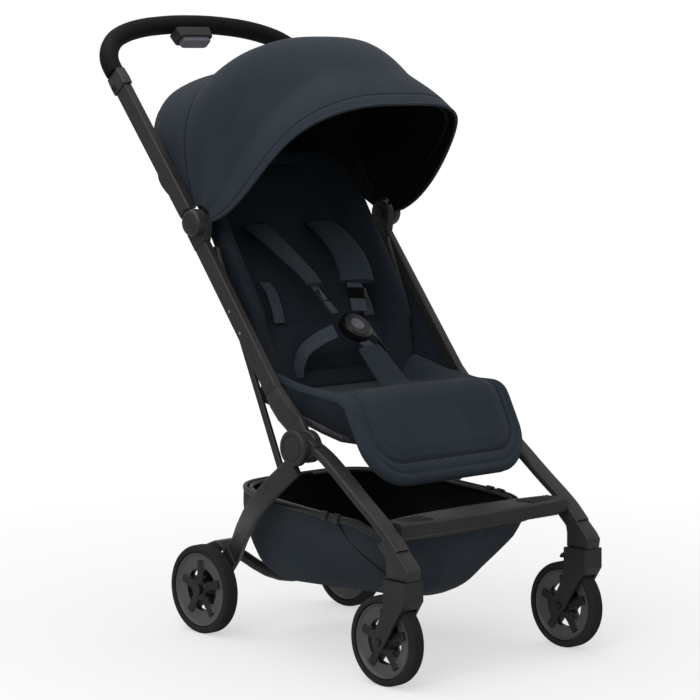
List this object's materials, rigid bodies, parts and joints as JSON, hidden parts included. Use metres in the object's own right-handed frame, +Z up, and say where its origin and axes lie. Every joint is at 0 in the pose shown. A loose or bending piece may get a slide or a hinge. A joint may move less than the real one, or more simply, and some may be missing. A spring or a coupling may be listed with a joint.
{
  "type": "baby stroller",
  "caption": "Compact folding stroller with hood, harnessed reclining seat, footrest, storage basket, swivelling front casters and a push handle that folds over the seat.",
  "frame": {"origin": "centre of the footprint, on the floor under the wheels", "axes": "+Z up, +X across, -Y the way it rolls, +Y the push handle side"},
  "size_m": [0.4696, 0.7914, 1.0247],
  "materials": {
    "frame": "satin dark anodised",
    "plastic": "fine grained dark grey",
    "cap": "smooth satin dark grey",
    "foam": "leather-look soft grip",
    "button": "satin grey",
    "tyre": "grooved foam tyre",
    "rim": "satin grey",
    "fabric": "fine woven twill",
    "pad": "padded melange cloth with piping",
    "strap": "webbing and soft pads",
    "gloss": "gloss black",
    "steel": "brushed",
    "bow": "black"
  },
  "bodies": {
    "frame": {"lower_tube_right": "frame", "lower_tube_left": "frame", "hinge_inner_right": "plastic", "hinge_inner_left": "plastic", "upper_pivot_right": "steel", "upper_pivot_left": "steel", "knee_cover_right": "cap", "knee_cover_left": "cap", "main_pivot_right": "steel", "main_pivot_left": "steel", "seat_pad": "pad", "calf_pad": "pad", "seat_hoop": "frame", "canopy_rear": "fabric", "crotch_strap": "strap", "buckle": "gloss", "waist_strap_right": "strap", "waist_strap_left": "strap", "shoulder_strap_right": "strap", "shoulder_strap_left": "strap"},
    "handle": {"upper_tube_right": "frame", "upper_tube_left": "frame", "hinge_outer_right": "cap", "hinge_outer_left": "cap", "collar_right": "cap", "collar_left": "cap", "handle_grip": "foam", "fold_housing": "plastic"},
    "trigger": {"fold_trigger": "button"},
    "rear_legs": {"rear_leg_right": "frame", "rear_leg_left": "frame", "axle_carrier_right": "plastic", "axle_carrier_left": "plastic", "rear_cross_tube": "frame", "basket": "fabric", "basket_rod": "bow"},
    "link_bars": {"link_bar_right": "frame", "link_bar_left": "frame"},
    "front_legs": {"front_leg_right": "frame", "front_leg_left": "frame", "footrest_bar": "plastic"},
    "caster_right": {"caster_fork_right": "plastic", "front_axle_right": "steel"},
    "caster_left": {"caster_fork_left": "plastic", "front_axle_left": "steel"},
    "lock_right": {"swivel_lock_right": "plastic"},
    "lock_left": {"swivel_lock_left": "plastic"},
    "front_wheel_right": {"front_tyre_right": "tyre", "front_rim_right": "rim"},
    "front_wheel_left": {"front_tyre_left": "tyre", "front_rim_left": "rim"},
    "rear_wheel_right": {"rear_tyre_right": "tyre", "rear_rim_right": "rim"},
    "rear_wheel_left": {"rear_tyre_left": "tyre", "rear_rim_left": "rim"},
    "pedal": {"brake_pedal": "plastic"},
    "back": {"backrest": "pad"},
    "canopy_front": {"canopy_main": "fabric", "canopy_bow": "bow"},
    "buckle_press": {"buckle_button": "button"}
  },
  "joints": [
    {"name": "handle_fold", "type": "hinge", "parent": "frame", "child": "handle", "pos_m": [0, 0.11033, 0.687], "axis": [1, 0, 0], "range_deg": [0, 155]},
    {"name": "rear_leg_fold", "type": "hinge", "parent": "frame", "child": "rear_legs", "pos_m": [0, -0.13767, 0.347], "axis": [1, 0, 0], "range_deg": [0, 73]},
    {"name": "front_leg_fold", "type": "hinge", "parent": "rear_legs", "child": "front_legs", "pos_m": [0, -0.13767, 0.347], "axis": [1, 0, 0], "range_deg": [0, 69], "deforming": ["basket", "basket_rod"]},
    {"name": "link_fold", "type": "hinge", "parent": "rear_legs", "child": "link_bars", "pos_m": [0, -0.07967, 0.282], "axis": [1, 0, 0], "range_deg": [-80, 0]},
    {"name": "caster_swivel_right", "type": "hinge", "parent": "front_legs", "child": "caster_right", "pos_m": [0.2005, -0.36167, 0.16], "axis": [0, 0, 1], "continuous": true},
    {"name": "swivel_lock_turn_right", "type": "hinge", "parent": "caster_right", "child": "lock_right", "pos_m": [0.2005, -0.33467, 0.152], "axis": [1, 0, 0], "range_deg": [0, 12]},
    {"name": "front_wheel_spin_right", "type": "hinge", "parent": "caster_right", "child": "front_wheel_right", "pos_m": [0.2005, -0.32567, 0.07], "axis": [1, 0, 0], "continuous": true},
    {"name": "rear_wheel_spin_right", "type": "hinge", "parent": "rear_legs", "child": "rear_wheel_right", "pos_m": [0.1635, 0.15433, 0.074], "axis": [1, 0, 0], "continuous": true},
    {"name": "caster_swivel_left", "type": "hinge", "parent": "front_legs", "child": "caster_left", "pos_m": [-0.2005, -0.36167, 0.16], "axis": [0, 0, 1], "continuous": true},
    {"name": "swivel_lock_turn_left", "type": "hinge", "parent": "caster_left", "child": "lock_left", "pos_m": [-0.2005, -0.33467, 0.152], "axis": [1, 0, 0], "range_deg": [0, 12]},
    {"name": "front_wheel_spin_left", "type": "hinge", "parent": "caster_left", "child": "front_wheel_left", "pos_m": [-0.2005, -0.32567, 0.07], "axis": [1, 0, 0], "continuous": true},
    {"name": "rear_wheel_spin_left", "type": "hinge", "parent": "rear_legs", "child": "rear_wheel_left", "pos_m": [-0.1635, 0.15433, 0.074], "axis": [1, 0, 0], "continuous": true},
    {"name": "brake_pedal_press", "type": "hinge", "parent": "rear_legs", "child": "pedal", "pos_m": [0, 0.13133, 0.146], "axis": [1, 0, 0], "range_deg": [-14, 0]},
    {"name": "backrest_recline", "type": "hinge", "parent": "frame", "child": "back", "pos_m": [0, -0.00467, 0.431], "axis": [1, 0, 0], "range_deg": [-28, 0], "deforming": ["canopy_rear"]},
    {"name": "canopy_fold", "type": "hinge", "parent": "frame", "child": "canopy_front", "pos_m": [0, 0.11033, 0.687], "axis": [1, 0, 0], "range_deg": [-50, 0], "deforming": ["canopy_main"]},
    {"name": "fold_trigger_pull", "type": "slide", "parent": "handle", "child": "trigger", "axis": [0, 0.6419, 0.7668], "range_m": [0, 0.006], "stiffness_N_per_m": 300, "springref_m": -0.004},
    {"name": "buckle_press_in", "type": "slide", "parent": "frame", "child": "buckle_press", "axis": [0, 0.6429, -0.7659], "range_m": [0, 0.003], "stiffness_N_per_m": 400, "springref_m": -0.003}
  ],
  "couplings": [
    {"joint": "rear_leg_fold", "follows": "handle_fold", "ratio": 0.4645},
    {"joint": "front_leg_fold", "follows": "handle_fold", "ratio": 0.4387},
    {"joint": "link_fold", "follows": "handle_fold", "ratio": -0.5084}
  ]
}
